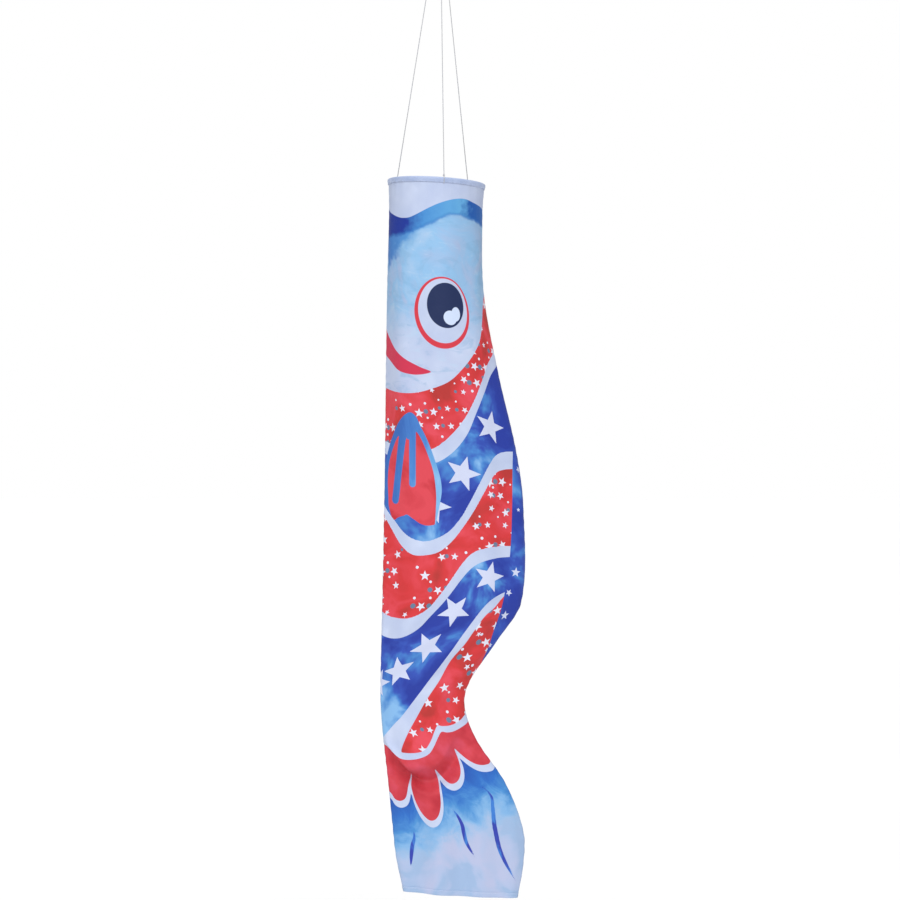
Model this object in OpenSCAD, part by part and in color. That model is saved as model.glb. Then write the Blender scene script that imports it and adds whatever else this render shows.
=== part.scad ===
// Carp streamer: a hollow fabric fish that hangs by its mouth from a hoop,
// a three-line bridle, a spring-gate snap and a barrel swivel.
// Frame: origin at the centre of the hanging eye's hole, +Z up, the fish's
// back towards +X, its belly towards -X and its left side towards -Y.

/* [Streamer] */
// Height from the bridle's crown down to the hoop
bridle_height = 582; // [400:1:700]
// Sideways place of the hoop's centre, so that the fish hangs in balance
hoop_x = -8; // [-20:1:10]
// Radius of the hoop to the middle of its wire
hoop_radius = 101.5; // [100:0.5:103]
// Slope of the hoop and hem, belly side high
lean = 3.2; // [0:0.1:5]
// Thickness of the fabric solids
fabric = 1.2; // [1:0.1:2]

/* [Bends] */
// Drop of the upper bend's pivot below the hoop
upper_bend = 620; // [600:1:640]
// Height of fabric that flexes at the upper bend
upper_flex = 100; // [90:1:110]
// Drop of the lower bend's pivot, at the wrist of the tail
lower_bend = 1112; // [1100:1:1120]
// Height of fabric that flexes at the lower bend
lower_flex = 84; // [70:1:90]

/* [Hanging eye and swivel] */
// Radius of the hole in the hanging eye
eye_hole_r = 4; // [3:0.1:5]
// Thickness of the hanging eye
eye_thick = 3; // [2.5:0.1:3.5]
// Radius of the necks that turn in the barrel
neck_r = 1.5; // [1.3:0.05:1.6]
// Radial running clearance of the necks and the gate's knuckle
running = 0.05; // [0.02:0.01:0.09]
// Outer radius of the barrel
barrel_r = 4.6; // [4.4:0.1:5]
// Length of the barrel
barrel_len = 22; // [20:0.5:26]

/* [Snap and cords] */
// Radius of the snap's wire
snap_wire = 1.1; // [1:0.05:1.2]
// Radius of the snap's end arcs, to the middle of the wire
snap_arc = 5.5; // [5.3:0.1:6]
// Radius of the bridle cord
cord_r = 1; // [0.8:0.05:1.1]
// Angles of the three lines round the hoop, from the left side towards the back
line_angles = [9, 138, -122];

/* [Hoop] */
// Radius of the hoop's wire
hoop_wire = 1.2; // [1:0.05:1.4]
// Outer radius of the ferrule that joins the hoop's ends
ferrule_r = 2; // [1.8:0.05:2.1]
// Height of the stitched casing below the hoop's wire
casing_drop = 8; // [6:0.5:9]

/* [Hidden] */
$fn = 40;

gap = 0.3;                 // clearance between loose metal and cord loops
steel = [0.78, 0.79, 0.82];
cord_colour = [0.88, 0.88, 0.9];
lavender = [0.72, 0.76, 0.9];
coral = [0.86, 0.24, 0.28];
indigo = [0.2, 0.28, 0.66];

// swivel, from the top down
barrel_top = -11;
barrel_floor = barrel_top - barrel_len;
barrel_wall = 3;           // thickness of the barrel's ends
head_r = 2.9;              // swaged heads inside the barrel
head_len = 2.8;
cavity_r = 3.2;
ring_r = 5.2;              // lower eye, to the middle of its wire
ring_wire = 1.2;
ring_z = barrel_floor - 8.5;
swing_z = ring_z - ring_r; // the snap swings about the lower eye's wire

// snap, from the top down
snap_top = swing_z + ring_wire + snap_wire + gap;
snap_upper = snap_top - snap_arc;
snap_lower = snap_upper - 22.4;
bridle_z = snap_lower - snap_arc; // the bridle swings about the snap's lower wire
gate_z = snap_lower + 3.5;
gate_tip = snap_upper - 2.7;
pin_r = 0.7;
knuckle_r = 1.8;
knuckle_half = 1;
ear_r = 2;
ear_near = 2.2;
ear_far = 3.1;
block_top = gate_z - knuckle_r - gap;
block_floor = snap_lower - 1;

// crown of the bridle
loop_r = 4.2;
loop_z = bridle_z + snap_wire + cord_r + gap - loop_r;
whip_top = loop_z - 6.6;
whip_len = 10;
whip_r = 2.7;
whip_bead = 0.9;
crown_z = whip_top - whip_len;
crown_offset = 1.6;

// hoop and hitches, in the hoop's own leaning frame
hoop_z = whip_top - bridle_height;
casing_r = 2.9;
casing_hollow = 2.2;
casing_half = 0.6;
hitch_half = 4.3;
hitch_floor = -casing_drop + 0.6;
hitch_cord = 0.8;
knot_z = 6.9;
knot_r = 2.4;

// The fish: drop below the hoop, belly edge, back edge, half depth and how
// sharp the seamed edges are (0.5 is a full ellipse, 1 a lens)
stations = [
    [0, -102, 102, 102, 0.5],
    [60, -101, 98, 99, 0.5],
    [230, -105, 101, 98, 0.5],
    [400, -108, 132, 86, 0.54],
    [560, -110, 170, 68, 0.6],
    [680, -112, 186, 57, 0.65],
    [880, -116, 182, 50, 0.7],
    [970, -118, 128, 41, 0.7],
    [1060, -120, 70, 30, 0.7],
    [1112, -120, 61, 26, 0.7],
    [1180, -115, 86, 24, 0.7],
    [1270, -105, 148, 26, 0.7],
    [1370, -95, 186, 27, 0.75],
    [1440, -87, 186, 24, 0.8],
    [1512, -71, 173, 20, 0.8]];
fish_len = stations[len(stations) - 1][0];
panel_top = casing_drop + 1;
hem_height = 12;
seam_gap = 0.3;            // half the space between the panels at the seams
around = 12;               // columns of facets across one panel

function slope(k, i) = let (a = max(k - 1, 0), b = min(k + 1, len(stations) - 1))
    (stations[b][i] - stations[a][i]) / (stations[b][0] - stations[a][0]);
function interval(drop) =
    max([for (k = [0 : len(stations) - 2]) if (stations[k][0] <= drop) k]);
function shape(drop, i) = let (k = interval(drop), a = stations[k], b = stations[k + 1],
        span = b[0] - a[0], t = (drop - a[0]) / span)
    (2 * pow(t, 3) - 3 * pow(t, 2) + 1) * a[i] + (3 * pow(t, 2) - 2 * pow(t, 3)) * b[i]
    + span * ((pow(t, 3) - 2 * pow(t, 2) + t) * slope(k, i) + (pow(t, 3) - pow(t, 2)) * slope(k + 1, i));
function skin(drop, angle, inset) =
    let (belly = shape(drop, 1), back = shape(drop, 2), half = (back - belly) / 2,
        x = (back + belly) / 2 - (half - 2 * inset) * cos(angle),
        y = -seam_gap - (shape(drop, 3) - inset) * pow(sin(angle), 2 * shape(drop, 4)))
    [hoop_x + x, y, hoop_z - drop - x * tan(lean)];

// one printed panel between two drops, for the fish's left side
module panel(top, bottom, rings, thick = fabric) {
    cols = around + 1;
    layer = cols * (rings + 1);
    points = [for (inset = [0, thick], i = [0 : rings], j = [0 : around])
        skin(top + (bottom - top) * i / rings, 180 * j / around, inset)];
    outer = [for (i = [0 : rings - 1], j = [0 : around - 1]) let (p = i * cols + j)
        each [[p, p + cols + 1, p + cols], [p, p + 1, p + cols + 1]]];
    inner = [for (f = outer) [f[0] + layer, f[2] + layer, f[1] + layer]];
    rims = [for (j = [0 : around - 1], i = [0, rings]) let (p = i * cols + j, q = p + layer)
        each i == 0 ? [[p, q, q + 1], [p, q + 1, p + 1]] : [[p, q + 1, q], [p, p + 1, q + 1]]];
    edges = [for (i = [0 : rings - 1], j = [0, around])
        let (p = i * cols + j, q = p + layer, u = p + cols, v = q + cols)
        each j == 0 ? [[p, u, v], [p, v, q]] : [[p, v, u], [p, q, v]]];
    polyhedron(points, concat(outer, inner, rims, edges), convexity = 4);
}

module mirrored() { mirror([0, 1, 0]) children(); }
module at_hoop() { translate([hoop_x, 0, hoop_z]) rotate([0, lean, 0]) children(); }

function in_hoop(p) = [hoop_x + p[0] * cos(lean) + p[2] * sin(lean), p[1],
    hoop_z - p[0] * sin(lean) + p[2] * cos(lean)];

// a round rod between two points
module rod(from, to, r) {
    d = to - from;
    translate(from) rotate([0, acos(d[2] / norm(d)), atan2(d[1], d[0])])
        cylinder(h = norm(d), r = r);
}

// an arc of wire that bulges upwards in the X-Z plane
module arch(radius, wire) {
    rotate([90, 0, 0]) rotate_extrude(angle = 180) translate([radius, 0]) circle(r = wire);
}

// revolved neck and swaged head of the swivel, pointing down from the origin
module neck_and_head(neck_len) {
    translate([0, 0, -neck_len]) cylinder(h = neck_len, r = neck_r);
    translate([0, 0, -neck_len - head_len]) cylinder(h = head_len, r = head_r);
}

module hanging_eye() {
    rim = eye_thick / 2;
    color(steel) {
        rotate([90, 0, 0]) rotate_extrude() {
            translate([eye_hole_r, -rim]) square([2, eye_thick]);
            translate([eye_hole_r + 2, 0]) circle(r = rim);
        }
        shoulder = -eye_hole_r - 2;
        translate([0, 0, shoulder]) neck_and_head(shoulder - barrel_top + barrel_wall + 0.1);
    }
}

module swivel_barrel() {
    bevel = 1.4;
    waist = 0.4;
    color(steel) rotate_extrude() difference() {
        polygon([[0, barrel_top], [barrel_r - bevel, barrel_top], [barrel_r, barrel_top - bevel],
            [barrel_r, barrel_top - 2 * bevel], [barrel_r - waist, barrel_top - 3 * bevel],
            [barrel_r - waist, barrel_floor + 3 * bevel], [barrel_r, barrel_floor + 2 * bevel],
            [barrel_r, barrel_floor + bevel], [barrel_r - bevel, barrel_floor], [0, barrel_floor]]);
        translate([0, barrel_floor - 1]) square([neck_r + running, barrel_len + 2]);
        translate([0, barrel_floor + barrel_wall])
            square([cavity_r, barrel_len - 2 * barrel_wall]);
    }
}

module swivel_tail() {
    color(steel) {
        rotate([90, 0, 0]) translate([0, ring_z]) rotate_extrude()
            translate([ring_r, 0]) circle(r = ring_wire);
        top = ring_z + ring_r + 0.4;
        translate([0, 0, top]) mirror([0, 0, 1])
            neck_and_head(barrel_floor + barrel_wall + 0.1 - top);
    }
}

module snap_body() {
    lip_near = -snap_arc - snap_wire - gap;
    lip_far = lip_near - 0.7;
    nose = gate_tip + 0.4;
    color(steel) {
        translate([0, 0, snap_upper]) rotate([0, 0, 90]) arch(snap_arc, snap_wire);
        translate([0, 0, snap_lower]) rotate([0, 180, 90]) arch(snap_arc, snap_wire);
        translate([0, snap_arc, snap_lower]) cylinder(h = snap_upper - snap_lower, r = snap_wire);
        translate([0, -snap_arc, nose]) cylinder(h = snap_upper - nose, r = snap_wire);
        translate([-snap_wire, lip_far, nose]) cube([2 * snap_wire, -snap_arc - lip_far, 1.6]);
        translate([-snap_wire, lip_far, nose - 2]) cube([2 * snap_wire, lip_near - lip_far, 3]);
        translate([-ear_far, -snap_arc - ear_r, block_floor])
            cube([2 * ear_far, 2 * ear_r, block_top - block_floor]);
        for (side = [0, 1]) mirror([side, 0, 0]) difference() {
            union() {
                translate([ear_near, -snap_arc, gate_z]) rotate([0, 90, 0])
                    cylinder(h = ear_far - ear_near, r = ear_r);
                translate([ear_near, -snap_arc - ear_r, block_floor])
                    cube([ear_far - ear_near, 2 * ear_r, gate_z - block_floor]);
            }
            translate([0, -snap_arc, gate_z]) rotate([0, 90, 0]) cylinder(h = 2 * ear_far, r = pin_r);
        }
    }
}

module snap_gate() {
    color(steel) translate([0, -snap_arc, gate_z]) difference() {
        union() {
            cylinder(h = gate_tip - gate_z, r = snap_wire);
            translate([-knuckle_half, 0, 0]) rotate([0, 90, 0])
                cylinder(h = 2 * knuckle_half, r = knuckle_r);
        }
        translate([-2 * knuckle_half, 0, 0]) rotate([0, 90, 0])
            cylinder(h = 4 * knuckle_half, r = pin_r + running);
    }
}

module gate_pin() {
    head = 0.5;
    color([0.6, 0.6, 0.63]) translate([-ear_far, -snap_arc, gate_z]) rotate([0, 90, 0]) {
        cylinder(h = 2 * ear_far, r = pin_r);
        translate([0, 0, -head]) cylinder(h = head, r = 1.7 * pin_r);
        translate([0, 0, 2 * ear_far]) cylinder(h = head, r = 1.7 * pin_r);
    }
}

module gate_spring() {
    start = knuckle_half + 0.15;
    color([0.5, 0.5, 0.53]) for (side = [0, 1]) mirror([side, 0, 0])
        translate([start, -snap_arc, gate_z]) rotate([0, 90, 0]) difference() {
            cylinder(h = ear_near - 0.15 - start, r = 1.5);
            translate([0, 0, -1]) cylinder(h = 3, r = pin_r + 0.2);
        }
}

module crown_loop() {
    foot = 1.4;
    color(cord_colour) {
        translate([0, 0, loop_z]) arch(loop_r, cord_r);
        for (side = [-1, 1]) {
            rod([side * loop_r, 0, loop_z], [side * foot, 0, whip_top + 2 * gap], cord_r);
            translate([side * loop_r, 0, loop_z]) sphere(r = cord_r);
        }
    }
}

module crown_whipping() {
    turns = 5;
    pitch = (whip_len - 2 * whip_bead) / (turns - 1);
    color([0.8, 0.8, 0.82]) translate([0, 0, crown_z]) rotate_extrude() {
        square([whip_r, whip_len]);
        for (k = [0 : turns - 1]) translate([whip_r, whip_bead + k * pitch]) circle(r = whip_bead);
    }
}

module bridle_line(angle) {
    knot = in_hoop([hoop_radius * sin(angle), -hoop_radius * cos(angle), knot_z]);
    crown = [crown_offset * sin(angle), -crown_offset * cos(angle), crown_z - gap];
    way = (crown - knot) / norm(crown - knot);
    color(cord_colour) rod(knot + (knot_r + 0.1) * way, crown, cord_r);
}

// cord tied round the casing, with its knot on top
module hitch(angle) {
    color(cord_colour) at_hoop() rotate([0, 0, angle - 90]) translate([hoop_radius, 0, 0]) {
        arch(hitch_half, hitch_cord);
        translate([0, 0, hitch_floor]) rotate([0, 180, 0]) arch(hitch_half, hitch_cord);
        for (side = [-1, 1]) translate([side * hitch_half, 0, hitch_floor])
            cylinder(h = -hitch_floor, r = hitch_cord);
        translate([0, 0, knot_z]) sphere(r = knot_r);
    }
}

module hoop_ring() {
    color([0.55, 0.56, 0.6]) at_hoop() rotate([0, 0, 91]) rotate_extrude(angle = 358, $fn = 96)
        translate([hoop_radius, 0]) circle(r = hoop_wire);
}

module hoop_ferrule() {
    color(steel) at_hoop() rotate([0, 0, 83]) rotate_extrude(angle = 14, $fn = 96)
        translate([hoop_radius, 0]) difference() {
            circle(r = ferrule_r);
            circle(r = hoop_wire);
        }
}

module mouth_casing() {
    crest = [for (a = [0 : 15 : 180]) casing_r * [cos(a), sin(a)]];
    color(lavender) at_hoop() rotate_extrude($fn = 96) translate([hoop_radius, 0]) difference() {
        polygon(concat(crest, [[-casing_r, -2], [-casing_half, -casing_drop],
            [casing_half, -casing_drop], [casing_r, -2]]));
        circle(r = casing_hollow);
    }
}

module left_panel_head() { color(lavender) panel(panel_top, upper_bend - upper_flex / 2, 9); }
module left_panel_upper_flex() {
    color(indigo) panel(upper_bend - upper_flex / 2 + gap, upper_bend + upper_flex / 2 - gap, 2);
}
module left_panel_middle() {
    color(coral) panel(upper_bend + upper_flex / 2, lower_bend - lower_flex / 2, 8);
}
module left_panel_lower_flex() {
    color(indigo) panel(lower_bend - lower_flex / 2 + gap, lower_bend + lower_flex / 2 - gap, 2);
}
module left_panel_tail() {
    color(coral) panel(lower_bend + lower_flex / 2, fish_len - hem_height - gap, 7);
}
module tail_hem() {
    color(lavender) {
        panel(fish_len - hem_height, fish_len, 1, 1.5 * fabric);
        mirrored() panel(fish_len - hem_height, fish_len, 1, 1.5 * fabric);
    }
}

hanging_eye();
swivel_barrel();
swivel_tail();
snap_body();
snap_gate();
gate_pin();
gate_spring();
crown_loop();
crown_whipping();
bridle_line(line_angles[0]);  // bridle_line_front
bridle_line(line_angles[1]);  // bridle_line_back
bridle_line(line_angles[2]);  // bridle_line_belly
hitch(line_angles[0]);  // hitch_front
hitch(line_angles[1]);  // hitch_back
hitch(line_angles[2]);  // hitch_belly
hoop_ring();
hoop_ferrule();
mouth_casing();
left_panel_head();
mirrored() left_panel_head();  // right_panel_head
left_panel_upper_flex();
mirrored() left_panel_upper_flex();  // right_panel_upper_flex
left_panel_middle();
mirrored() left_panel_middle();  // right_panel_middle
left_panel_lower_flex();
mirrored() left_panel_lower_flex();  // right_panel_lower_flex
left_panel_tail();
mirrored() left_panel_tail();  // right_panel_tail
tail_hem();
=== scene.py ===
"""Looks of the carp streamer: printed cloth, braided cord, nickel-plated hardware.

Lengths are in metres. Places on the fish are given in millimetres as (across, down):
across is from the hoop's centre towards the fish's back, down is below the hoop.
"""

import math

import bpy
import numpy as np
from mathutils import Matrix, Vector


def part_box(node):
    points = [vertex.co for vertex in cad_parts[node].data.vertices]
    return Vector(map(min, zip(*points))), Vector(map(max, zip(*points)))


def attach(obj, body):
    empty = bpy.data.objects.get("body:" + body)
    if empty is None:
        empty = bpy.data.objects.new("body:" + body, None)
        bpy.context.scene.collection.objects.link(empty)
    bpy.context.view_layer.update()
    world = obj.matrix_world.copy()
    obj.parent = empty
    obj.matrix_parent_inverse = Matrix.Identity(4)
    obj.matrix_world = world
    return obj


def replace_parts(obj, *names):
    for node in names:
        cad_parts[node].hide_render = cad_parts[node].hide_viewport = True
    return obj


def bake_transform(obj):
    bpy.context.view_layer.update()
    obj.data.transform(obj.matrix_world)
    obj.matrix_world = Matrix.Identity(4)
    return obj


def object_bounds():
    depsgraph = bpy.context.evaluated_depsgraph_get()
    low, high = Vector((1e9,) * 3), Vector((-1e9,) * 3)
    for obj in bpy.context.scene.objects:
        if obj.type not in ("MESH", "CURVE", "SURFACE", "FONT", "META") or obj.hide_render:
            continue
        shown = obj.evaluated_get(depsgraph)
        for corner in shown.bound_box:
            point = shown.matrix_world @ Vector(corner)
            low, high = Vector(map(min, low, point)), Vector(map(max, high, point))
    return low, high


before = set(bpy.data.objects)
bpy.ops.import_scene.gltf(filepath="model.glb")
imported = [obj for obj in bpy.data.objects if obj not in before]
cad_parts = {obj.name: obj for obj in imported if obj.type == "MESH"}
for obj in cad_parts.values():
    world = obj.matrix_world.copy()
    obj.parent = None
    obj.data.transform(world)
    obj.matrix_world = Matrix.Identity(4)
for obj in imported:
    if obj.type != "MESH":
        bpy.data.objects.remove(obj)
cad_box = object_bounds()

MM = 0.001
TURN = 2 * math.pi
WIRE_RADIUS = 1.2 * MM   # the hoop's wire
ring_low, ring_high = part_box("hoop_ring")
HOOP = (ring_low + ring_high) / 2
HOOP_RADIUS = (ring_high.y - ring_low.y) / 2 - WIRE_RADIUS
LEAN_ANGLE = math.radians(3.2)   # the hoop and every cross-section tip down at the back
LEAN = math.tan(LEAN_ANGLE)


# ---------------------------------------------------------------- camera

VIEW_SPAN = 1.9173       # height of the picture at the fish
VIEW_DISTANCE = 5.0      # puts the hoop about 6.5 degrees above the camera
SENSOR = 36.0            # millimetres
CAMERA = Vector((HOOP.x + 0.0288, -VIEW_DISTANCE, HOOP.z - 0.5679))


def make_camera():
    data = bpy.data.cameras.new("camera")
    data.sensor_width = SENSOR
    data.lens = SENSOR * VIEW_DISTANCE / VIEW_SPAN
    data.clip_end = 200   # metres, beyond the edge of the floor
    camera = bpy.data.objects.new("camera", data)
    bpy.context.scene.collection.objects.link(camera)
    camera.location = CAMERA
    camera.rotation_euler = (math.radians(90), 0, 0)
    bpy.context.scene.camera = camera


make_camera()


# ---------------------------------------------------------------- curves

def smooth(knots, values):
    """A smooth curve through the values at the knots, level beyond its ends."""
    k, v = np.array(knots, float), np.array(values, float)
    slope = np.concatenate([[(v[1] - v[0]) / (k[1] - k[0])],
                            (v[2:] - v[:-2]) / (k[2:] - k[:-2]),
                            [(v[-1] - v[-2]) / (k[-1] - k[-2])]])

    def at(x):
        x = np.clip(x, k[0], k[-1])
        i = np.clip(np.searchsorted(k, x, "right") - 1, 0, len(k) - 2)
        span = k[i + 1] - k[i]
        t = (x - k[i]) / span
        return ((2 * t**3 - 3 * t**2 + 1) * v[i] + (3 * t**2 - 2 * t**3) * v[i + 1]
                + span * ((t**3 - 2 * t**2 + t) * slope[i] + (t**3 - t**2) * slope[i + 1]))
    return at


def ease(t):
    """From 0 to 1 as t does, with level ends."""
    t = np.clip(t, 0, 1)
    return t * t * (3 - 2 * t)


def bell(x, width):
    return np.exp(-(x / width) ** 2)


def unit(vectors):
    return vectors / np.maximum(np.linalg.norm(vectors, axis=-1, keepdims=True), 1e-12)


def run_along(path):
    """Distance along a path to each of its points."""
    return np.concatenate([[0], np.cumsum(np.linalg.norm(np.diff(path, axis=0), axis=1))])


def points_at(path, run, at):
    """Points of a path at the given distances along it."""
    return np.stack([np.interp(at, run, path[:, i]) for i in range(path.shape[1])], 1)


# ---------------------------------------------------------------- the fish's shape

# drop, belly edge, back edge, half depth, sharpness of the seamed edges
STATIONS = np.array([
    [0, -102, 102, 102, 0.5],
    [60, -101, 98, 99, 0.5],
    [230, -105, 101, 98, 0.5],
    [400, -108, 132, 86, 0.54],
    [560, -110, 170, 68, 0.6],
    [680, -112, 186, 57, 0.65],
    [880, -116, 182, 50, 0.7],
    [970, -118, 128, 41, 0.7],
    [1060, -120, 70, 30, 0.7],
    [1112, -120, 61, 26, 0.7],
    [1180, -115, 86, 24, 0.7],
    [1270, -105, 148, 26, 0.7],
    [1370, -95, 186, 27, 0.75],
    [1440, -87, 186, 24, 0.8],
    [1512, -71, 173, 20, 0.8]])
belly, back, depth = (smooth(STATIONS[:, 0] * MM, STATIONS[:, i] * MM) for i in (1, 2, 3))
sharp = smooth(STATIONS[:, 0] * MM, STATIONS[:, 4])
CLOTH_TOP = 6 * MM
CLOTH_END = 1512 * MM
SPLIT = 870 * MM         # where the upper cloth pieces meet the lower ones
CELL = 3 * MM            # height of the cloth's quads
COLUMNS = 108            # quads across one panel
SECTION_STEPS = 721      # points that a cross-section is measured with


def section(drop, count):
    """Left half of the cross-section: across, depth and distance along the cloth from mid-panel."""
    turn = np.linspace(0, math.pi, SECTION_STEPS)
    half = (back(drop) - belly(drop)) / 2
    x = (back(drop) + belly(drop)) / 2 - half * np.cos(turn)
    y = -depth(drop) * np.sin(turn) ** (2 * sharp(drop))
    run = run_along(np.column_stack([x, y]))
    along = np.linspace(0, run[-1], count)
    return np.interp(along, run, x), np.interp(along, run, y), along - run[-1] / 2


def half_width(drop):
    """Distance along the cloth from mid-panel to the sewn edge."""
    return section(drop, 3)[2][-1]


PRINT_MM = 1.0096 * MM    # size of the print's millimetres
PRINT_RISE = 7.24 * MM    # height above the hoop's centre at which down is zero
FLAT_ROUNDS = 5           # enough for the place on the curved cloth to settle


def flat(across, down):
    """A place on the print's pattern, as (distance along the cloth, drop). Across and down are
    measured on a flat sheet through the fish's middle, seen from the viewer's distance."""
    plane = Vector((HOOP.x + across * PRINT_MM, 0, HOOP.z + PRINT_RISE - down * PRINT_MM))
    depth_here = 0.0
    for _ in range(FLAT_ROUNDS):
        place = CAMERA + (plane - CAMERA) * (1 + depth_here / VIEW_DISTANCE)
        x = place.x - HOOP.x
        drop = HOOP.z - place.z - x * LEAN
        xs, ys, along = section(drop, SECTION_STEPS)
        depth_here = np.interp(x, xs, ys)
    beyond = min(x - xs[0], 0) + max(x - xs[-1], 0)
    return np.interp(x, xs, along) + beyond, drop


def boundary(*points):
    """The drop of a printed line, as a function of distance along the cloth."""
    along, drops = zip(*[flat(*p) for p in points])
    return smooth(along, drops)


# The body's cloth sags over the narrow tail root and tucks under along the valley line;
# below it the tail's cloth comes out again as far as the ridge line
valley_line = boundary((-125, 1184), (-112, 1190), (-98, 1200), (-77, 1226), (-58, 1245),
                       (-24, 1242), (5, 1230), (22, 1205), (36, 1178), (64, 1160), (90, 1150))
ridge_line = boundary((-125, 1250), (-112, 1251), (-59, 1255), (-40, 1266), (-10, 1268),
                      (20, 1250), (40, 1222), (64, 1196), (90, 1186))
valley_depth = smooth(np.array([-130, -112, -95, -60, 0, 40, 80]) * MM,
                      np.array([5, 12, 20, 27, 25, 17, 5]) * MM)
lip_height = smooth(np.array([-130, -110, -60, -20, 30, 80]) * MM,
                    np.array([8, 13, 14, 10, 6, 2]) * MM)
RETURN = 30 * MM         # how far below the ridge line the cloth is back in its plain form
LIP_LENGTH = 34 * MM     # how far up from the valley line the sagging lip dies out
NARROWEST = 12 * MM      # least distance between valley and ridge
TUCK_REACH = {-1: 1.0, 1: -0.4}   # both layers tuck the same way, the right one less
FULL_FOLD_DROP = 250 * MM         # the folds grow from nothing at the hoop to here


def tuck(side, along, drop):
    """How far the cloth stands out at the tail root: a lip over a hollow."""
    rise = drop - valley_line(along)
    share = rise / np.maximum(ridge_line(along) - valley_line(along), NARROWEST)
    back_out = ease((drop - ridge_line(along)) / RETURN)
    hollow = -valley_depth(along) * (0.3 + 0.7 * np.clip(share, 0, 1)) * (1 - back_out)
    lip = lip_height(along) * np.exp(-np.abs(rise) / LIP_LENGTH)
    turn_under = (2.8 + 6.5 * ease((along + 60 * MM) / (60 * MM))) * MM
    below = 1 / (1 + np.exp(-np.clip(rise / turn_under, -40, 40)))
    return TUCK_REACH[side] * (lip * (1 - below) + hollow * below)


def folds(side, along, drop):
    """Long shallow folds, every 83 and 127 mm across the cloth and nearly twice as deep in the
    tail, and slanting ones above the tail root, every 75 mm across."""
    wide = np.cos(TURN * (along / 0.083 + 0.35 * np.sin(drop * 4.1 + side)) + side)
    wider = 0.8 * np.cos(TURN * (along / 0.127 - 0.3 * drop + 0.2 * side))
    growth = ease(drop / FULL_FOLD_DROP) * (1 + 0.9 * ease((drop - 1.2) / 0.2))
    slant = bell(drop - 1.02, 0.13) * np.cos(TURN * (along + 0.8 * drop) / 0.075)
    return 1.7 * MM * (wide + wider) * growth + 2.4 * MM * slant


def gather(along):
    """Small gathers where the cloth is sewn to the casing."""
    return np.cos(TURN * along / 0.019 + 2 * np.sin(40 * along))


def pucker(drop, edge):
    """Puckers along the sewn edges, none at the casing or the hem."""
    ripple = np.cos(TURN * drop / 0.024 + 2.5 * np.sin(11 * drop)) * (0.6 + 0.4 * np.sin(37 * drop))
    ends = ease(drop / 0.04) * ease((CLOTH_END - drop) / 0.03)
    return 0.4 * MM * ripple * np.exp(-edge / (14 * MM)) * ends


def relief(side, along, drop, edge):
    """How far the cloth stands out from the plain form; edge is the distance to a sewn edge."""
    shape = tuck(side, along, drop) * ease(edge / (18 * MM))
    shape = shape + folds(side, along, drop) * ease(edge / (20 * MM))
    gathers = 0.5 * MM * np.exp(-drop / 0.03) * gather(along) * ease(edge / (14 * MM))
    seam = -0.8 * MM * bell(edge, 2.5 * MM)
    return shape + gathers + pucker(drop, edge) + seam


def drift(drop):
    """The hanging tail isn't quite flat: below 1.15 m it bows up to 7 mm towards its right."""
    return 0.009 * ease((drop - 1.15) / 0.3) * np.sin((drop - 1.15) * 9)


def cloth_grid(side, drops):
    """Places and outward normals of one panel in the shared frame, with each point's along,
    drop and across: side is -1 for the fish's left panel and 1 for its right."""
    rows = [section(d, COLUMNS + 1) for d in drops]
    x, y, along = (np.array([r[i] for r in rows]) for i in range(3))
    drop = np.repeat(drops[:, None], COLUMNS + 1, 1)
    edge = np.abs(along[:, -1:]) - np.abs(along)
    place = np.dstack([x + HOOP.x, y, HOOP.z - drop - x * LEAN])
    ahead = np.dstack([x + HOOP.x, y, HOOP.z - drop - CELL - x * LEAN])
    normal = unit(np.cross(np.gradient(place, axis=1), ahead - place))
    normal *= np.where(normal[..., 1:2].mean() > 0, -1, 1)
    normal[..., 1] *= ease(edge / 0.006)
    normal = unit(normal)
    place = place + normal * relief(side, along, drop, edge)[..., None]
    place[..., 1] += -side * drift(drop)
    if side > 0:
        place[..., 1] *= -1
        normal[..., 1] *= -1
    return place, normal, along, drop, x


# ---------------------------------------------------------------- the print

def outline(points, per_side=6):
    """A smooth closed line through places on the fish, in flat-cloth coordinates, with
    per_side points from each place to the next."""
    p = np.array([flat(*q) for q in points])
    before, after, later = np.roll(p, 1, 0), np.roll(p, -1, 0), np.roll(p, -2, 0)
    line = []
    square, cube = 2 * before - 5 * p + 4 * after - later, 3 * p - before - 3 * after + later
    for t in np.arange(per_side) / per_side:
        line.append(0.5 * (2 * p + (after - before) * t + square * t**2 + cube * t**3))
    return np.stack(line, 1).reshape(-1, 2)


def inside(points, shape):
    """Signed distance of flat points to a closed line, positive inside it."""
    nearest, odd = np.full(len(points), 1e9), np.zeros(len(points), bool)
    for p, q in zip(shape, np.roll(shape, -1, 0)):
        way = q - p
        t = np.clip((points - p) @ way / max(way @ way, 1e-12), 0, 1)
        nearest = np.minimum(nearest, ((points - p - t[:, None] * way) ** 2).sum(1))
        spans = (p[1] > points[:, 1]) != (q[1] > points[:, 1])
        cut = p[0] + (points[:, 1] - p[1]) * way[0] / (way[1] or 1e-12)
        odd ^= spans & (points[:, 0] < cut)
    return np.where(odd, 1, -1) * np.sqrt(nearest)


STROKE_STEPS = 60


def stroke(points, route, thickness, taper=0.6):
    """Signed distance to a brush stroke that swells in its middle, positive inside it."""
    line = np.array([flat(*p) for p in route])
    run = run_along(line)
    fine = np.linspace(0, run[-1], STROKE_STEPS)
    xs, ys = smooth(run, line[:, 0])(fine), smooth(run, line[:, 1])(fine)
    width = thickness * MM / 2 * np.sin(math.pi * np.clip(fine / run[-1], 0.02, 0.98)) ** taper
    reach = width[None] - np.hypot(points[:, :1] - xs[None], points[:, 1:] - ys[None])
    return reach.max(1)


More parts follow.
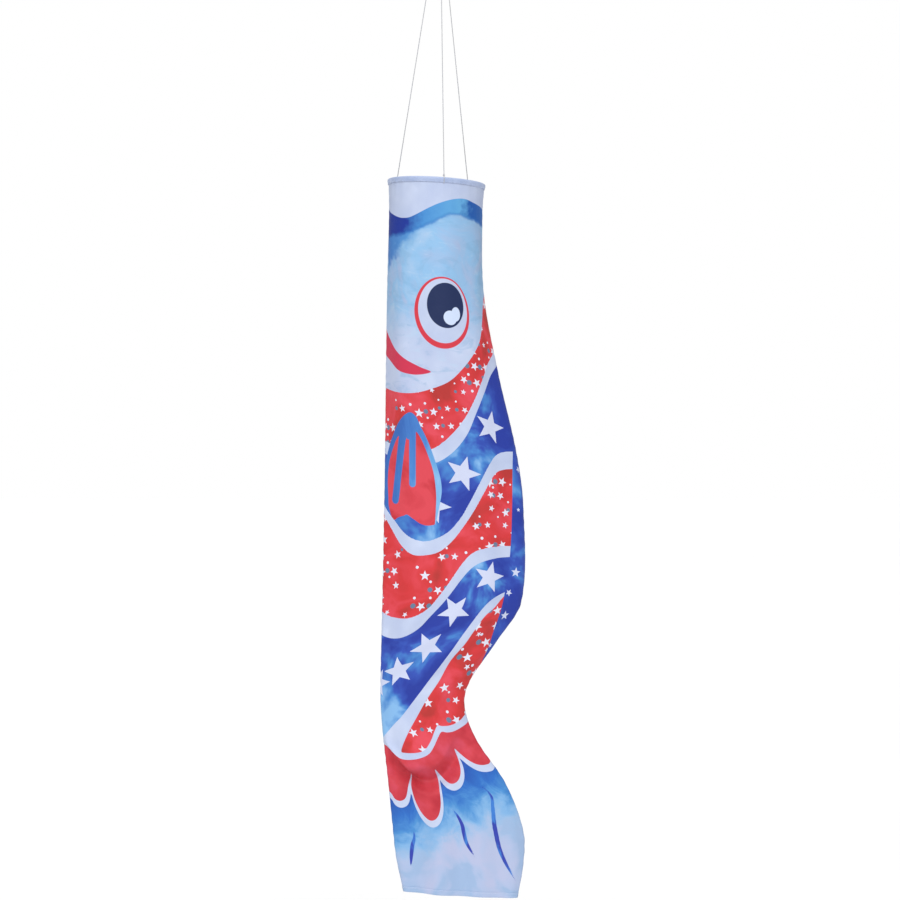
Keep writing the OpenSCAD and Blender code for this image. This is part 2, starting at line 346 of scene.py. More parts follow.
# Lines that part the printed bands, from the mouth to the tail
BANDS = [
    # wave over the brow
    boundary((-104, 58), (-92, 72), (-77, 79), (-60, 79), (-45, 73), (-14, 57), (10, 47),
             (38, 40), (60, 40), (78, 48), (96, 62)),
    # edge of the head
    boundary((-112, 434), (-88, 444), (-52, 447), (-14, 439), (28, 422), (60, 391), (80, 362),
             (92, 335), (97, 300), (99, 262), (101, 230)),
    # white scale edge 1
    boundary((-112, 548), (-56, 572), (-10, 568), (25, 544), (58, 506), (80, 464), (96, 424),
             (112, 385), (128, 350)),
    boundary((-112, 570), (-56, 594), (-5, 591), (32, 570), (64, 532), (84, 483), (100, 444),
             (116, 405), (132, 370)),
    # white scale edge 2
    boundary((-118, 670), (-107, 694), (-88, 721), (-71, 741), (-52, 755), (-26, 762), (-1, 756),
             (26, 741), (52, 712), (71, 679), (90, 641), (109, 604), (125, 582), (140, 574),
             (161, 572)),
    boundary((-118, 686), (-109, 706), (-98, 730), (-77, 765), (-52, 787), (-26, 790), (5, 783),
             (31, 763), (58, 729), (77, 700), (96, 665), (113, 633), (126, 616), (142, 609),
             (161, 607)),
    # white scale edge 3
    boundary((-118, 908), (-100, 921), (-71, 926), (-43, 920), (-16, 903), (5, 879), (24, 854),
             (45, 823), (60, 803), (79, 786), (102, 778), (128, 774), (157, 773)),
    boundary((-118, 948), (-107, 956), (-81, 960), (-58, 954), (-33, 938), (-9, 912), (12, 889),
             (31, 865), (52, 837), (71, 816), (90, 804), (128, 795), (157, 793)),
    # white scale edge 4, and the white line below the scalloped end of the body
    boundary((-116, 1184), (-94, 1152), (-69, 1124), (-33, 1077), (-1, 1035), (31, 992),
             (64, 946), (92, 907), (109, 886), (128, 872), (150, 862)),
    boundary((-117, 1186), (-104, 1190), (-96, 1198), (-84, 1210), (-74, 1217), (-58, 1219),
             (-36, 1216), (-17, 1207), (-6, 1190), (2, 1172), (9, 1160), (20, 1161), (34, 1159),
             (52, 1150), (66, 1136), (74, 1122))]
SECOND_SCALES = 4        # number of the upper line of white scale edge 2

RED_PATCH = outline([
    (150, 874), (121, 903), (100, 922), (79, 951), (60, 979), (31, 1013), (7, 1055), (-16, 1089),
    (-37, 1125), (-54, 1156), (-66, 1182), (-73, 1204), (-66, 1208), (-40, 1208), (-24, 1202),
    (-12, 1184), (-4, 1163), (2, 1151), (12, 1152), (30, 1150), (48, 1141), (62, 1125), (90, 1110),
    (110, 1040), (150, 980), (200, 900), (190, 866)], 4)

STARS = [  # across, down, radius, turn from upright in degrees
    (114, 521, 36, 9), (56, 619, 38, 15), (-6, 687, 38, 20), (111, 838, 34, 14), (38, 909, 35, 44),
    (-19, 985, 35, 47), (-79, 1036, 33, -6), (-122, 1061, 30, 20), (149, 476, 7, 0),
    (161, 526, 9, 10), (171, 611, 8, 20), (172, 696, 5, 0), (168, 828, 11, 6), (154, 871, 8, 30),
    (146, 919, 10.5, 12), (113, 982, 6, 10)]

EYE = (12.5, 280, 60.5, 75, 3.4)  # across, down, half width, half height, turn in degrees

FIN = outline([(-57, 490), (-75, 505), (-91, 532), (-103, 567), (-109, 615), (-110, 652),
               (-106, 690), (-92, 716), (-82, 712), (-65, 708), (-50, 714), (-36, 724), (-22, 729),
               (-8, 728), (-1, 722), (8, 679), (11, 655), (8, 628), (-4, 589), (-19, 550),
               (-34, 519), (-44, 498)])
FIN_RED = outline([(-81, 541), (-93, 565), (-101, 592), (-104, 628), (-103, 668), (-101, 694),
                   (-88, 726), (-65, 706), (-50, 714), (-36, 724), (-22, 732), (-6, 738),
                   (-1, 684), (-2, 648), (-8, 611), (-19, 579), (-31, 550), (-43, 531), (-51, 540),
                   (-59, 548), (-66, 538), (-73, 545)], 8)
# Routes of brush strokes with their thickness in millimetres; the rays don't taper
FIN_RAYS = [([(-66, 520), (-72, 549), (-81, 617), (-88, 674)], 19, 0.0),
            ([(-50, 518), (-50, 560), (-50, 600), (-50, 641)], 14.5, 0.0)]

MOUTH = outline([(-118, 262), (-108, 302), (-97, 341), (-82, 362), (-62, 379.5), (-36, 394),
                 (-14, 402.5), (-11, 405), (-25, 409), (-49, 410.5), (-76, 403), (-96, 385),
                 (-107, 364), (-118, 345)])

CORAL = outline([(-140, 1150), (-140, 1260), (-98, 1292), (-88, 1306), (-77, 1311), (-66, 1305),
                 (-61, 1284), (-59, 1250), (-55, 1276), (-46, 1309), (-31, 1337), (-13, 1352),
                 (2, 1346), (9, 1322), (6, 1286), (-4, 1246), (8, 1260), (21, 1271), (34, 1275),
                 (46, 1267), (51, 1248), (47, 1222), (39, 1201), (52, 1212), (67, 1224),
                 (85, 1233), (103, 1234), (114, 1224), (130, 1180), (110, 1120), (0, 1110)])

STROKES = [([(-49, 1374), (-48, 1391), (-52, 1408), (-55, 1450)], 10),
           ([(30, 1325), (43, 1341), (54, 1362), (58, 1380), (64, 1401), (82, 1431)], 10),
           ([(85, 1276), (102, 1285), (116, 1302), (119, 1325), (123, 1366), (132, 1408),
             (148, 1446), (169, 1484)], 11.5)]

# Lower edge of the wave over the brow, and about the middle of the fade in the tail's blue
wave_foot = boundary((-107, 122), (-77, 114), (-45, 104), (-14, 90), (28, 72), (60, 77), (94, 96))
tail_wash = boundary((-110, 1402), (-60, 1397), (-20, 1378), (30, 1352), (70, 1338), (110, 1320),
                     (150, 1312))

# How far towards the back the bands reach before the plain blue of the back
dorsal_edge = smooth(np.array([560, 600, 680, 770, 840, 880, 930, 970, 1010]) * MM,
                     np.array([161, 161, 161, 158, 150, 142, 128, 114, 98]) * MM)


def zones(along, drop):
    """Band number at every point: each printed line lies at a whole number."""
    lines = [np.zeros_like(drop)] + [b(along) for b in BANDS] + [np.full_like(drop, CLOTH_END)]
    total = np.zeros_like(drop)
    for upper, lower in zip(lines[:-1], lines[1:]):
        lower = np.maximum(lower, upper + MM)
        total += np.clip((drop - upper) / (lower - upper), 0, 1)
    return total


def upright(across, down, turn):
    """A place on the flat cloth and the direction there that looks turned from upright."""
    lean = math.radians(turn)
    here = np.array(flat(across, down))
    above = np.array(flat(across + 6 * math.sin(lean), down - 6 * math.cos(lean)))
    return here, unit(above - here)


def local_places(points, across, down, turn):
    """Places along the turned upright direction and to the right of it."""
    here, up = upright(across, down, turn)
    away = points - here
    return away @ up, away @ np.array([-up[1], up[0]])


STAR_REACH = 1.3   # in star radii; further away a point belongs to no star


def star_places(points, stars):
    """Each point's place in the nearest star's own axes, and that star's radius, or 0 far away."""
    local = np.full((len(points), 3), 0.0)
    nearest = np.full(len(points), 1e9)
    for across, down, radius, turn in stars:
        up, right = local_places(points, across, down, turn)
        far = np.hypot(up, right) / (radius * MM)
        mine = far < nearest
        nearest[mine] = far[mine]
        local[mine] = np.column_stack([up, right, np.full_like(up, radius * MM)])[mine]
    local[nearest > STAR_REACH] *= (30, 30, 0)   # far outside any star, with no radius
    return local


def seam_distance(along, drop):
    """Distance along the cloth to the nearer sewn edge."""
    drops = np.linspace(0, CLOTH_END, 120)
    half = np.array([half_width(d) for d in drops])
    return np.interp(drop, drops, half) - np.abs(along)


CORAL_RIM = 11 * MM      # how far the white rim of the coral lobes hangs below them


def artwork(along, drop, across):
    """Every printed shape as a field on the cloth, keyed by attribute name."""
    points = np.column_stack([along, drop])
    eye_across, eye_down, eye_width, eye_height, eye_turn = EYE
    eye_up, eye_right = local_places(points, eye_across, eye_down, eye_turn)
    rays, strokes = (np.max([stroke(points, *one) for one in group], axis=0)
                     for group in (FIN_RAYS, STROKES))
    coral = inside(points, CORAL)
    rim = np.maximum(coral, inside(points - [0, CORAL_RIM], CORAL))
    has_back = drop > BANDS[SECOND_SCALES](along) - 4 * MM
    dorsal = np.where(has_back, across - dorsal_edge(drop), -MM)
    columns = {
        "print": (along, drop, seam_distance(along, drop)),
        "eye": (eye_right / (eye_width * MM), eye_up / (eye_height * MM), np.zeros_like(along)),
        "fin": (inside(points, FIN), inside(points, FIN_RED), rays),
        "art": (inside(points, MOUTH), coral, strokes),
        "edge": (dorsal, inside(points, RED_PATCH), rim),
        "wash": (drop - BANDS[0](along), drop - wave_foot(along), drop - tail_wash(along))}
    return {
        **{name: np.column_stack(three) for name, three in columns.items()},
        "zone": zones(along, drop),
        "star_odd": star_places(points, STARS[0::2]),
        "star_even": star_places(points, STARS[1::2])}


# ---------------------------------------------------------------- materials

def colour(code):
    """An sRGB hex code as a linear colour."""
    parts = [int(code[i:i + 2], 16) / 255 for i in (0, 2, 4)]
    return tuple(c / 12.92 if c <= 0.04045 else ((c + 0.055) / 1.055) ** 2.4 for c in parts) + (1,)


class Paint:
    """A material and short names for the nodes that it is built from."""

    def __init__(self, name):
        self.material = bpy.data.materials.new(name)
        self.material.use_nodes = True
        self.tree = self.material.node_tree
        self.shader = self.tree.nodes["Principled BSDF"]

    def node(self, kind, inputs=(), **settings):
        made = self.tree.nodes.new(kind)
        for key, value in settings.items():
            setattr(made, key, value)
        for key, value in dict(inputs).items():
            self.put(value, made.inputs[key])
        return made

    def put(self, value, socket):
        """Links or sets a socket; a string is a colour's hex code."""
        if isinstance(value, bpy.types.NodeSocket):
            self.tree.links.new(value, socket)
        elif value is not None:
            socket.default_value = colour(value) if isinstance(value, str) else value

    def math(self, operation, a, b=None, c=None):
        return self.node("ShaderNodeMath", {0: a, 1: b, 2: c}, operation=operation).outputs[0]

    def vector(self, operation, a, b=None):
        made = self.node("ShaderNodeVectorMath", {0: a, 1: b}, operation=operation)
        return made.outputs["Value" if operation == "LENGTH" else "Vector"]

    def split(self, vector):
        return self.node("ShaderNodeSeparateXYZ", {0: vector}).outputs

    def times(self, a, b):
        return self.math("MULTIPLY", a, b)

    def plus(self, value, amount, extra):
        """value + amount * extra"""
        return self.math("MULTIPLY_ADD", extra, amount, value)

    def field(self, name):
        """The single number of an attribute."""
        return self.node("ShaderNodeAttribute", attribute_name=name).outputs["Fac"]

    def fields(self, name):
        """The three numbers of an attribute, as one vector."""
        return self.node("ShaderNodeAttribute", attribute_name=name).outputs["Vector"]

    def own_place(self):
        return self.node("ShaderNodeTexCoord").outputs["Object"]

    def noise(self, vector, scale, detail=3.0, distortion=0.0, roughness=0.5):
        return self.node("ShaderNodeTexNoise", {
            "Vector": vector, "Scale": scale, "Detail": detail, "Distortion": distortion,
            "Roughness": roughness}).outputs["Fac"]

    def streaks(self, vector, scales, *settings):
        """Noise with its own scale in each direction."""
        return self.noise(self.vector("MULTIPLY", vector, scales), 1.0, *settings)

    def span(self, value, low, high, to_low=0.0, to_high=1.0, kind="SMOOTHSTEP"):
        return self.node("ShaderNodeMapRange", {
            "Value": value, "From Min": low, "From Max": high, "To Min": to_low,
            "To Max": to_high}, interpolation_type=kind).outputs[0]

    def within(self, distance, soft=0.5 * MM):
        """1 where a signed distance is above 0, with a slightly soft edge."""
        return self.span(distance, -soft, soft)

    def mix(self, share, a, b):
        made = self.node("ShaderNodeMix", data_type="RGBA")
        for socket, value in zip((0, 6, 7), (share, a, b)):   # the colour mix's factor, A and B
            self.put(value, made.inputs[socket])
        return made.outputs[2]

    def ramp(self, value, *stops, kind="LINEAR"):
        made = self.node("ShaderNodeValToRGB", {0: value})
        made.color_ramp.interpolation = kind
        while len(made.color_ramp.elements) < len(stops):
            made.color_ramp.elements.new(1)
        for element, (place, shade) in zip(made.color_ramp.elements, stops):
            element.position = place
            element.color = colour(shade) if isinstance(shade, str) else shade
        return made.outputs[0]

    def bump(self, height, distance, strength):
        return self.node("ShaderNodeBump", {
            "Height": height, "Distance": distance, "Strength": strength}).outputs[0]

    def closer(self, x, y, reach):
        """1 where a place is closer to the middle than the reach."""
        square = self.math("ADD", self.times(x, x), self.times(y, y))
        return self.math("LESS_THAN", self.math("SQRT", square), reach)

    def star(self, x, y, radius, turn=0.0):
        """1 inside a five-pointed star with a point along x."""
        wedge, waist = math.pi / 5, 0.42
        angle = self.math("ADD", self.math("ARCTAN2", y, x), turn)
        off_tip = self.math("PINGPONG", angle, wedge)
        rest = self.math("SINE", self.math("SUBTRACT", wedge, off_tip))
        below = self.plus(self.math("SINE", off_tip), waist, rest)
        reach = self.math("DIVIDE", waist * math.sin(wedge), below)
        return self.closer(x, y, self.times(reach, radius))

    def sprinkle(self, place, pitch, size, keep, points=True):
        """Small stars or dots scattered over the cloth, about a pitch apart."""
        scaled = self.vector("MULTIPLY", place, (1 / pitch,) * 3)
        cells = self.node("ShaderNodeTexVoronoi", {
            "Vector": scaled, "Scale": 1.0, "Randomness": 0.55}, voronoi_dimensions="2D")
        x, y, _ = self.split(self.vector("SUBTRACT", scaled, cells.outputs["Position"]))
        keep_draw, size_draw, turn_draw = self.split(cells.outputs["Color"])
        radius = self.times(size / pitch, self.span(size_draw, 0, 1, 0.6, 1.15, "LINEAR"))
        if points:
            shape = self.star(x, y, radius, self.times(turn_draw, 6.28))
        else:
            shape = self.closer(x, y, radius)
        return self.times(self.math("LESS_THAN", keep_draw, keep), shape)

    def finish(self, **sockets):
        for key, value in sockets.items():
            self.put(value, self.shader.inputs[key.replace("_", " ")])
        return self.material


SPECKLE = 34 * MM        # pitch of the small stars and dots on the red
SMALLEST_STAR = 3 * MM   # every radius in STARS is more than this
THREAD_PITCH = 0.7 * MM  # over and under in the cloth's plain weave
PALE = "BCC7E1"
STAR_PALE = "C6CDE6"
LINING_PALE = "BCC4D8"
SEAM_SHADE = "3C4A78"    # painted shade along the sewn edges, which lie at the fish's outline

# The bands from the mouth to the tail, and how a ramp's channels tell their families apart
BAND_KINDS = ["face", "face", "red", "pale", "blue", "pale", "red", "pale", "blue", "pale", "tail"]
FAMILIES = {"face": (0, 0, 0, 1), "red": (1, 0, 0, 1), "blue": (0, 1, 0, 1),
            "pale": (0, 0, 1, 1), "tail": (1, 1, 0, 1)}


class PrintedCloth(Paint):
    """The printed cloth: artwork's fields pick the figures, and noises vary their dye."""

    def __init__(self):
        super().__init__("printed_polyester")
        printed = self.fields("print")
        self.along, self.drop, self.seam = self.split(printed)
        self.place = self.vector("MULTIPLY", printed, (1.0, 1.0, 0.0))
        self.large = self.noise(self.place, 9.0, 4.0, 1.4)
        self.grain = self.noise(self.place, 60.0, 3.0)
        self.brushed = self.streaks(self.place, (70.0, 14.0, 1.0), 4.0, 0.6)
        self.marks = self.streaks(self.place, (13.0, 24.0, 1.0), 5.0, 1.6, 0.62)
        self.pale = self.dyed((16.0, 2.0), (0.3, "B2BEDC"), (0.6, PALE), (0.75, "C6D0E8"))

    def dyed(self, settings, *stops):
        """A dye that varies over the cloth as a noise of these settings."""
        return self.ramp(self.noise(self.place, *settings), *stops)

    def blue(self):
        shading = self.noise(self.vector("ADD", self.place, (0.9, 0.4, 0)), 8.0, 4.0, 0.5, 0.55)
        tint = self.math("ADD", self.plus(shading, 0.06, self.grain),
                         self.span(self.along, -0.10, 0.13, 0.02, -0.06, "LINEAR"))
        return self.ramp(tint, (0.42, "263A9A"), (0.51, "3350AE"), (0.58, "4682C8"),
                         (0.66, "82B2E0"))

    def face(self):
        """The pale face, darker and sky blue between the brow and the mouth."""
        sky = self.ramp(self.large, (0.35, "A0B4D6"), (0.5, "8CB8DE"), (0.7, "A6C0DE"))
        low_down = self.span(self.plus(self.drop, 0.06, self.grain), 0.27, 0.40)
        face = self.mix(low_down, sky, self.pale)
        face = self.mix(self.span(self.marks, 0.50, 0.64, 0.0, 0.4), face, "7CA6CC")
        return self.mix(self.span(self.marks, 0.34, 0.44, 0.35, 0.0), face, "B4CCE4")

    def trail(self, wave_end):
        """Where dye has run down from the wave, furthest at the belly side."""
        ragged = self.plus(self.plus(wave_end, 0.04, self.grain), 0.15, self.large)
        ragged = self.math("ADD", ragged, self.span(self.along, -0.125, 0.0, -0.095, -0.055))
        smear = self.span(self.plus(ragged, 0.05, self.marks), 0.045, 0.085, 1.0, 0.0)
        runs = self.streaks(self.place, (60.0, 7.0, 1.0), 3.0, 0.5)
        runs = self.span(self.plus(wave_end, 0.34, runs), 0.215, 0.235, 1.0, 0.0)
        runs = self.times(runs, self.span(self.along, -0.135, -0.085, 1.0, 0.0))
        return self.math("MAXIMUM", smear, runs)

    def brow(self, face):
        """Wave over the brow: indigo at the belly side, sky in the middle, blue at the back."""
        wave, wave_end, _ = self.split(self.fields("wash"))
        from_belly = self.span(self.plus(self.along, 0.05, self.grain), -0.15, 0.20, kind="LINEAR")
        wave_blue = self.ramp(from_belly, (0.0, "105098"), (0.10, "12308C"), (0.30, "1C3492"),
                              (0.42, "4488C8"), (0.66, "60A4D6"), (0.74, "1C56A6"), (1.0, "2A6EBA"))
        trail_blue = self.ramp(from_belly, (0.0, "1E64B4"), (0.16, "2C70BC"), (0.34, "4A8CCA"),
                               (0.55, "78AEDC"), (0.75, "90B2D6"))
        face = self.mix(self.times(self.trail(wave_end), 0.9), face, trail_blue)
        foot = self.plus(wave_end, 0.012, self.grain)
        arc = self.times(self.span(foot, 0.0, 0.006), self.span(foot, 0.006, 0.012, 1.0, 0.0))
        face = self.mix(self.span(foot, 0.003, 0.011, 1.0, 0.0), face, wave_blue)
        face = self.mix(self.times(arc, 0.5), face, "2F6FB8")
        return self.mix(self.within(wave, 0.6 * MM), self.pale, face)

    def speckled(self):
        """Red with small stars, white dots and teal dots on three grids that interleave."""
        red = self.dyed((13.0, 3.0, 0.8), (0.32, "B03432"), (0.47, "CC363A"), (0.66, "DA4A58"))
        between = self.vector("ADD", self.place, (SPECKLE / 2, SPECKLE / 2, 0))
        beside = self.vector("ADD", self.place, (SPECKLE / 2, 0, 0))
        stars = self.sprinkle(self.place, SPECKLE, 9.8 * MM, 0.66)
        white_dots = self.sprinkle(between, SPECKLE, 2.8 * MM, 0.55, points=False)
        teal_dots = self.sprinkle(beside, SPECKLE, 5.2 * MM, 0.36, points=False)
        shade = self.mix(self.times(teal_dots, 0.85), red, "3F7F9C")
        return self.mix(self.math("MAXIMUM", stars, white_dots), shade, "D8DAEA")

    def tail(self):
        """Blue under the coral lobes, fading to lavender at the hem, with brush strokes."""
        _, _, wash_depth = self.split(self.fields("wash"))
        _, _, rim = self.split(self.fields("edge"))
        _, lobes, strokes = self.split(self.fields("art"))
        blotch = self.noise(self.vector("ADD", self.place, (0.4, 0.1, 0)), 22.0, 5.0, 1.0, 0.6)
        wash = self.plus(self.plus(wash_depth, 0.09, blotch), 0.08, self.large)
        lavender = self.dyed((11.0, 3.0, 0.8), (0.42, "98B0D2"), (0.5, "A6B6D6"), (0.6, "B0B8D6"))
        shade = self.ramp(self.span(wash, 0.0, 0.15, kind="LINEAR"), (0.0, "2450A8"),
                          (0.24, "2E6ABC"), (0.45, "4C8CCA"), (0.62, "7AAAD8"), (0.82, "94B6DA"))
        shade = self.mix(self.span(wash, 0.09, 0.155), shade, lavender)
        ink = self.mix(self.span(self.brushed, 0.45, 0.6), "3340A4", "3C78C8")
        shade = self.mix(self.span(strokes, 0.2 * MM, 1.2 * MM), shade, ink)
        shade = self.mix(self.span(rim, -3.6 * MM, -2.8 * MM), shade, PALE)
        coral = self.dyed((18.0, 3.0), (0.3, "B42C3A"), (0.5, "C63C48"), (0.68, "CE4A5E"))
        return self.mix(self.within(lobes, 0.4 * MM), shade, coral)

    def banded(self, face, tail):
        """The whole fish in its bands, with the blue back and the red patch over them."""
        back_edge, patch, _ = self.split(self.fields("edge"))
        zone = self.field("zone")
        count = len(BAND_KINDS)
        stops = [(i / count, FAMILIES[kind]) for i, kind in enumerate(BAND_KINDS)]
        bands = self.ramp(self.math("DIVIDE", zone, count), *stops, kind="CONSTANT")
        is_red, is_blue, is_pale = self.split(bands)
        above_tail = self.math("LESS_THAN", zone, count - 1.0)
        on_back = self.times(self.math("GREATER_THAN", back_edge, 0.0), above_tail)
        is_white = self.times(is_pale, self.math("SUBTRACT", 1.0, on_back))
        speckled = self.speckled()
        shade = self.mix(is_red, face, speckled)
        shade = self.mix(self.math("MAXIMUM", is_blue, on_back), shade, self.blue())
        shade = self.mix(is_white, shade, self.pale)
        shade = self.mix(self.times(is_white, self.within(patch)), shade, speckled)
        return self.mix(self.times(is_red, is_blue), shade, tail)

    def large_stars(self, shade):
        for name in ("star_odd", "star_even"):
            x, y, radius = self.split(self.fields(name))
            is_star = self.math("GREATER_THAN", radius, SMALLEST_STAR)
            in_star = self.times(self.star(x, y, radius), is_star)
            shade = self.mix(in_star, shade, STAR_PALE)
        return shade

    def pectoral_fin(self, shade):
        """A red membrane with a blue rim and rays, lighter towards the back and the tip."""
        fin, red_part, rays = self.split(self.fields("fin"))
        lighter = self.math("ADD", self.span(self.along, -0.14, 0.03, 0.0, 0.7, "LINEAR"),
                            self.span(self.drop, 0.52, 0.64, 0.0, 0.16))
        rim = self.ramp(self.plus(lighter, 0.3, self.brushed), (0.30, "3868B4"),
                        (0.50, "4880C6"), (0.66, "6AA4D8"), (0.85, "90BCE4"))
        membrane = self.ramp(self.large, (0.38, "BC2E38"), (0.56, "D44652"))
        drawn = self.mix(self.within(red_part, 0.6 * MM), rim, membrane)
        drawn = self.mix(self.within(rays, 0.6 * MM), drawn, rim)
        return self.mix(self.within(fin), shade, drawn)

    def mouth(self, shade):
        mouth = self.split(self.fields("art"))[0]
        return self.mix(self.within(mouth), shade, "C83450")

    def eye_oval(self, centre, half):
        """1 inside an oval on the eye, in shares of the eye's half width and half height."""
        moved = self.vector("SUBTRACT", self.fields("eye"), (*centre, 0.0))
        scaled = self.vector("MULTIPLY", moved, (1 / half[0], 1 / half[1], 1.0))
        return self.span(self.vector("LENGTH", scaled), 0.99, 1.01, 1.0, 0.0)

    def eye(self, shade):
        shade = self.mix(self.eye_oval((0, 0), (1, 1)), shade, "CC3846")
        shade = self.mix(self.eye_oval((0.02, 0.055), (0.89, 0.90)), shade, self.pale)
        shade = self.mix(self.eye_oval((0.10, 0.22), (0.66, 0.63)), shade, "1E2C54")
        shine = self.math("MAXIMUM", self.eye_oval((0.28, -0.10), (0.235, 0.20)),
                          self.eye_oval((0.47, 0.03), (0.165, 0.20)))
        return self.mix(shine, shade, "C8D6F0")

    def worn(self, shade):
        """Painted shade along the sewn edges, paler on the inner face, and slightly uneven all
        over.
        """
        # painted shade: the cloth darkened towards the sewn edges, at the fish's outline
        at_seam = self.span(self.seam, 0.8 * MM, 2.6 * MM, 0.35, 0.0)
        shade = self.mix(at_seam, shade, SEAM_SHADE)
        shade = self.mix(self.times(self.field("lining"), 0.4), shade, LINING_PALE)
        fine = self.span(self.noise(self.place, 900.0, 2.0), 0.3, 0.7)
        return self.mix(self.times(fine, 0.06), shade, (0, 0, 0, 1))

    def weave(self):
        """A plain weave as a bump: over and under threads in two directions."""
        warp, weft = (self.math("SINE", self.times(way, TURN / THREAD_PITCH))
                      for way in (self.along, self.drop))
        return self.bump(self.times(warp, weft), 0.05 * MM, 0.35)


def printed_cloth():
    p = PrintedCloth()
    shade = p.banded(p.brow(p.face()), p.tail())
    shade = p.eye(p.mouth(p.pectoral_fin(p.large_stars(shade))))
    # worn paints shade along the sewn edges
    return p.finish(Base_Color=p.worn(shade), Roughness=p.span(p.grain, 0.3, 0.7, 0.52, 0.66),
                    Normal=p.weave(), Sheen_Weight=0.04, Sheen_Roughness=0.4,
                    Specular_IOR_Level=0.22)


def plain_cloth(name, shade, dark):
    p = Paint(name)
    place = p.own_place()
    mottle = p.noise(place, 40.0, 3.0)
    threads = p.streaks(place, (900.0, 900.0, 900.0), 1.0)
    return p.finish(Base_Color=p.ramp(mottle, (0.3, dark), (0.65, shade)),
                    Roughness=p.span(mottle, 0.3, 0.7, 0.55, 0.7),
                    Normal=p.bump(threads, 0.05 * MM, 0.4), Sheen_Weight=0.2)


def cord_fibre(name, shade, dark):
    p = Paint(name)
    place = p.own_place()
    fibre = p.streaks(place, (2600.0, 2600.0, 700.0), 2.0)
    soiled = p.span(p.noise(place, 25.0, 2.0), 0.35, 0.75, 0.0, 0.35)
    clean = p.ramp(fibre, (0.25, dark), (0.7, shade))
    return p.finish(Base_Color=p.mix(soiled, clean, "B9B6AE"),
                    Roughness=p.span(fibre, 0.2, 0.8, 0.6, 0.85),
                    Normal=p.bump(fibre, 0.08 * MM, 0.5), Sheen_Weight=0.3)


def metal(name, shade, dark, rough):
    p = Paint(name)
    place = p.own_place()
    brushed = p.streaks(place, (400.0, 400.0, 2400.0), 3.0)
    worn = p.span(p.noise(place, 260.0, 4.0), 0.52, 0.72)
    return p.finish(Base_Color=p.mix(worn, shade, dark), Metallic=1.0,
                    Roughness=p.span(brushed, 0.25, 0.75, rough, rough + 0.16),
                    Normal=p.bump(brushed, 0.02 * MM, 0.25))


CLOTH = printed_cloth()
CASING = plain_cloth("casing_polyester", "A8B6D6", "98A8CC")
THREAD = cord_fibre("sewing_thread", "DCE2F2", "B4BEDC")
CORD = cord_fibre("braided_cord", "C6C7CC", "94969E")
NICKEL = metal("nickel_plate", "B2B0AC", "8E8A84", 0.2)
SPRING = metal("spring_wire", "8A8884", "625E5A", 0.26)


# ---------------------------------------------------------------- mesh making

def add_mesh(name, points, faces, material, body=None, smooth_faces=True):
    mesh = bpy.data.meshes.new(name)
    faces = faces.tolist() if isinstance(faces, np.ndarray) else faces
    mesh.from_pydata(np.asarray(points).tolist(), [], faces)
    mesh.update()
    mesh.polygons.foreach_set("use_smooth", [smooth_faces] * len(mesh.polygons))
    mesh.materials.append(material)
    piece = bpy.data.objects.new(name, mesh)
    bpy.context.scene.collection.objects.link(piece)
    if body:
        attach(piece, body)
    return piece


def give_fields(piece, fields):
    for key, values in fields.items():
        values = np.asarray(values, np.float32)
        kind, slot = ("FLOAT", "value") if values.ndim == 1 else ("FLOAT_VECTOR", "vector")
        piece.data.attributes.new(key, kind, "POINT").data.foreach_set(slot, values.ravel())


def sheet_faces(rows, columns, round_rows=False, round_columns=False):
    """Quads of a grid of points, row by row; a round direction closes on itself."""
    i = np.arange(rows if round_rows else rows - 1)[:, None]
    j = np.arange(columns if round_columns else columns - 1)[None]
    up, next_j = (i + 1) % rows, (j + 1) % columns
    corners = [i * columns + j, i * columns + next_j, up * columns + next_j, up * columns + j]
    return np.stack([np.broadcast_to(c, (i.size, j.size)) for c in corners], 2).reshape(-1, 4)


def looks_in(points, faces, outward):
    """Whether the faces look against the outward directions given per point."""
    corner = points[faces]
    normal = np.cross(corner[:, 2] - corner[:, 0], corner[:, 3] - corner[:, 1])
    return (normal * outward[faces[:, 0]]).sum() < 0


def add_band(name, points, outward, material, body):
    """A folded band closed round the fish and round its own section; outward is a direction
    for each point, or zero where it doesn't matter."""
    rows, columns = points.shape[:2]
    points, outward = points.reshape(-1, 3), outward.reshape(-1, 3)
    faces = sheet_faces(rows, columns, round_rows=True, round_columns=True)
    if looks_in(points, faces, outward):
        faces = faces[:, ::-1]
    return add_mesh(name, points, faces, material, body)


def path_frame(path, closed):
    """Two directions across a path at each point, carried along it without twisting."""
    ahead = (np.roll(path, -1, 0) - np.roll(path, 1, 0)) if closed else np.gradient(path, axis=0)
    ahead = unit(ahead)
    side = np.cross(ahead[0], (0, 0, 1) if abs(ahead[0, 2]) < 0.9 else (1, 0, 0))
    sides = []
    for direction in ahead:
        side = unit(side - direction * (side @ direction))
        sides.append(side)
    sides = np.array(sides)
    return sides, np.cross(ahead, sides)


def tube(path, radius, around=10, closed=False, braid=0.0):
    """A closed tube along a path. Braid is the length over which its plait repeats, or 0."""
    path = np.asarray(path, float)
    sides, ups = path_frame(path, closed)
    angle = np.linspace(0, TURN, around, endpoint=False)
    radii = np.repeat(np.broadcast_to(radius, len(path))[:, None], around, 1)
    if braid:
        phase = TURN * run_along(path)[:, None] / braid
        one, other = np.cos(4 * angle + phase), np.cos(4 * angle - phase)
        radii = radii * (0.9 + 0.1 * np.maximum(one, other))
    across = (np.cos(angle)[None, :, None] * sides[:, None]
              + np.sin(angle)[None, :, None] * ups[:, None])
    points = (path[:, None] + radii[..., None] * across).reshape(-1, 3)
    faces = sheet_faces(len(path), around, closed, True)[:, ::-1].tolist()
    if not closed:
        first, last, top = len(points), len(points) + 1, (len(path) - 1) * around
        points = np.concatenate([points, [path[0], path[-1]]])
        faces += [[first, j, (j + 1) % around] for j in range(around)]
        faces += [[last, top + (j + 1) % around, top + j] for j in range(around)]
    return points, faces


